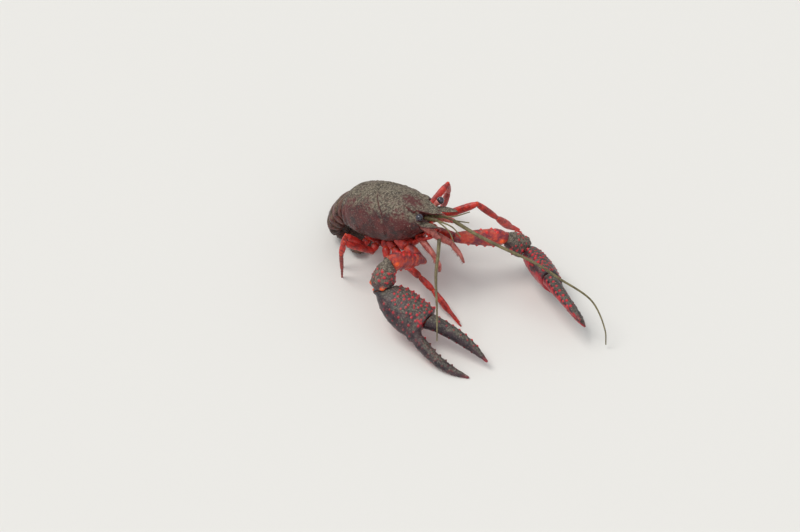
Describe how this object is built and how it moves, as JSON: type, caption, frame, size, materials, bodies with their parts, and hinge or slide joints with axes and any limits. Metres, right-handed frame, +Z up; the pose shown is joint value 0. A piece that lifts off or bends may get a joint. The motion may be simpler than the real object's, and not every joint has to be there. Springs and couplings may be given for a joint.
{
  "type": "crayfish",
  "caption": "Red swamp crayfish standing on its walking legs, claws forward, abdomen curled under, long antennae; a still life-size model.",
  "frame": {"origin": "centre of the bounding box on the floor plane, under the animal", "axes": "+X the way the animal faces, +Y its left side, +Z up"},
  "size_m": [0.1452, 0.0957, 0.0442],
  "materials": {
    "silted_shell": "matte, dusted with silt",
    "dark_shell": "satin",
    "red_shell": "satin",
    "claw_shell": "satin, tuberculate",
    "feeler": "satin",
    "soft_joint": "satin",
    "eye": "glossy"
  },
  "bodies": {
    "root": {"carapace": "silted_shell", "eyestalk_right": "soft_joint", "eye_right": "eye", "eyestalk_left": "soft_joint", "eye_left": "eye", "antennal_scale_right": "silted_shell", "antennal_scale_left": "silted_shell", "thorax_underside": "soft_joint", "leg2_right_merus": "red_shell", "leg2_right_carpus": "red_shell", "leg2_right_foot": "red_shell", "leg3_right_merus": "red_shell", "leg3_right_carpus": "red_shell", "leg3_right_foot": "red_shell", "leg4_right_merus": "red_shell", "leg4_right_carpus": "red_shell", "leg4_right_foot": "red_shell", "leg5_right_merus": "red_shell", "leg5_right_carpus": "red_shell", "leg5_right_foot": "red_shell", "leg2_left_merus": "red_shell", "leg2_left_carpus": "red_shell", "leg2_left_foot": "red_shell", "leg3_left_merus": "red_shell", "leg3_left_carpus": "red_shell", "leg3_left_foot": "red_shell", "leg4_left_merus": "red_shell", "leg4_left_carpus": "red_shell", "leg4_left_foot": "red_shell", "leg5_left_merus": "red_shell", "leg5_left_carpus": "red_shell", "leg5_left_foot": "red_shell", "maxilliped_right": "soft_joint", "maxilliped_left": "soft_joint", "claw_right_base": "red_shell", "claw_right_merus": "red_shell", "claw_right_carpus": "claw_shell", "claw_right_palm": "claw_shell", "claw_right_finger": "claw_shell", "claw_left_base": "red_shell", "claw_left_merus": "red_shell", "claw_left_carpus": "claw_shell", "claw_left_palm": "claw_shell", "claw_left_finger": "claw_shell", "antennule_right": "feeler", "antenna_base_right": "feeler", "antenna_right": "feeler", "antennule_left": "feeler", "antenna_base_left": "feeler", "antenna_left": "feeler", "abdomen_1": "dark_shell", "abdomen_2": "dark_shell", "abdomen_3": "dark_shell", "abdomen_4": "dark_shell", "abdomen_5": "dark_shell", "abdomen_6": "dark_shell", "telson": "dark_shell", "uropod_right": "dark_shell", "uropod_left": "dark_shell"}
  },
  "joints": []
}
